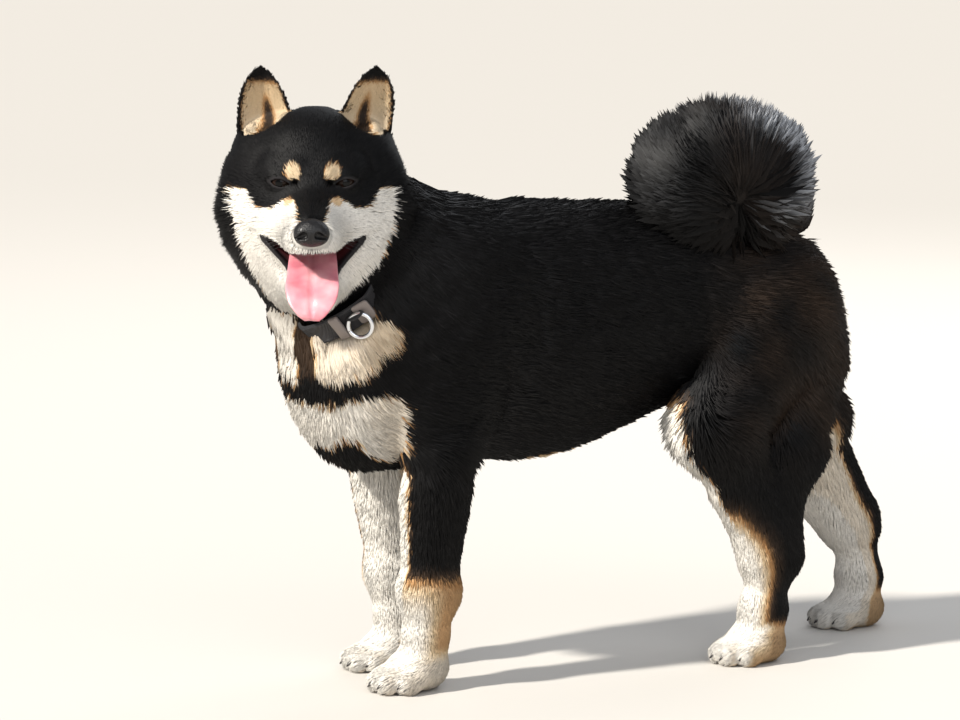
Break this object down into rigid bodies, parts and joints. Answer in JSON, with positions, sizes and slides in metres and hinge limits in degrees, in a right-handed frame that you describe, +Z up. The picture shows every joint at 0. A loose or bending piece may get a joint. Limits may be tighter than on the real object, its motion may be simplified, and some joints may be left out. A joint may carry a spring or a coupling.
{
  "type": "shiba inu",
  "caption": "Standing black-and-tan Shiba Inu with its head turned, mouth open, tongue out, curled brush tail and a flat collar.",
  "frame": {"origin": "on the ground, under the middle of the dog's bounding box", "axes": "+Z is up and the dog faces along -X, so +X runs from the chest to the tail; its left side is -Y"},
  "size_m": [0.6466, 0.2044, 0.5151],
  "materials": {
    "black_coat": "short black fur",
    "cream_coat": "short cream fur",
    "eye": "wet, dark brown",
    "nose": "moist, finely grained",
    "tongue": "moist pink",
    "strap": "woven black webbing",
    "keeper": "taupe grey",
    "ring": "bright"
  },
  "bodies": {
    "root": {"torso": "black_coat", "neck": "black_coat", "head": "black_coat", "jaw": "cream_coat", "ear_left": "black_coat", "ear_right": "black_coat", "eye_left": "eye", "eye_right": "eye", "nose": "nose", "tongue": "tongue", "foreleg_left": "black_coat", "foreleg_right": "black_coat", "forepaw_left": "cream_coat", "forepaw_right": "cream_coat", "hindleg_left": "black_coat", "hindleg_right": "black_coat", "hindpaw_left": "cream_coat", "hindpaw_right": "cream_coat", "tail": "black_coat", "collar": "strap", "collar_keeper": "keeper", "collar_ring": "ring"}
  },
  "joints": []
}
